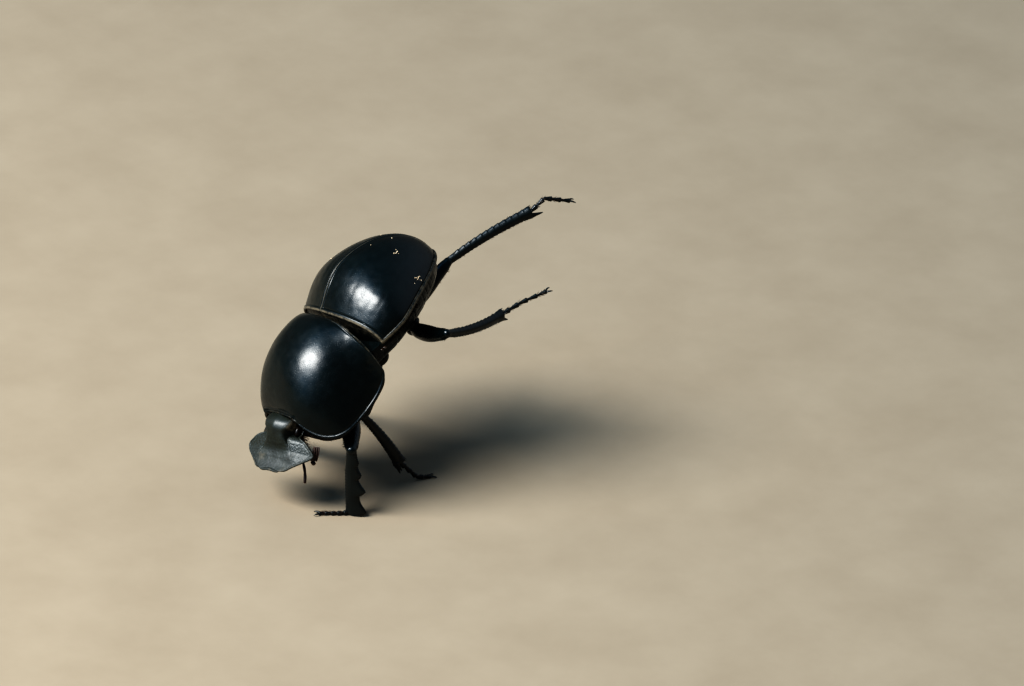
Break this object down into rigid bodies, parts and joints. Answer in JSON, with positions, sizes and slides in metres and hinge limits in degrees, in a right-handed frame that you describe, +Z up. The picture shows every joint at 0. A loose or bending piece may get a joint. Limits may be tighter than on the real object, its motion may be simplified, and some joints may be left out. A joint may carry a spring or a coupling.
{
  "type": "dung beetle model",
  "caption": "Still life-size model of a flightless dung beetle, head down on its fore and middle feet with the hind legs reaching back and up.",
  "frame": {"origin": "on the floor under the middle of the model's bounding box", "axes": "-Y the way the head faces, +X the beetle's left, +Z up from the floor it stands on"},
  "size_m": [0.0282, 0.0524, 0.0327],
  "materials": {
    "shell": "satin gloss black cuticle, finely punctured",
    "underside": "black cuticle, coarser and duller than the back",
    "head": "granulate black cuticle with a little dust",
    "eyes": "glossy dark brown",
    "legs": "glossy black cuticle, rougher on the tibiae",
    "feet": "dark brown cuticle",
    "feelers": "reddish brown cuticle",
    "clubs": "matt reddish brown, finely downy"
  },
  "bodies": {
    "root": {"elytron_left": "shell", "elytron_right": "shell", "pronotum": "shell", "pygidium": "shell", "pterothorax": "underside", "abdomen": "underside", "prosternum": "underside", "coxa_fore_left": "underside", "coxa_fore_right": "underside", "coxa_mid_left": "underside", "coxa_mid_right": "underside", "coxa_hind_left": "underside", "coxa_hind_right": "underside", "head": "head", "eye_left": "eyes", "eye_right": "eyes", "femur_fore_left": "legs", "femur_fore_right": "legs", "femur_mid_left": "legs", "femur_mid_right": "legs", "femur_hind_left": "legs", "femur_hind_right": "legs", "tibia_fore_left": "legs", "tibia_fore_right": "legs", "tibia_mid_left": "legs", "tibia_mid_right": "legs", "tibia_hind_left": "legs", "tibia_hind_right": "legs", "tarsus_fore_left": "feet", "tarsus_fore_right": "feet", "tarsus_mid_left": "feet", "tarsus_mid_right": "feet", "tarsus_hind_left": "feet", "tarsus_hind_right": "feet", "antenna_left": "feelers", "antenna_right": "feelers", "palp_left": "feelers", "palp_right": "feelers", "mouthparts": "feelers", "antenna_club_left": "clubs", "antenna_club_right": "clubs"}
  },
  "joints": []
}
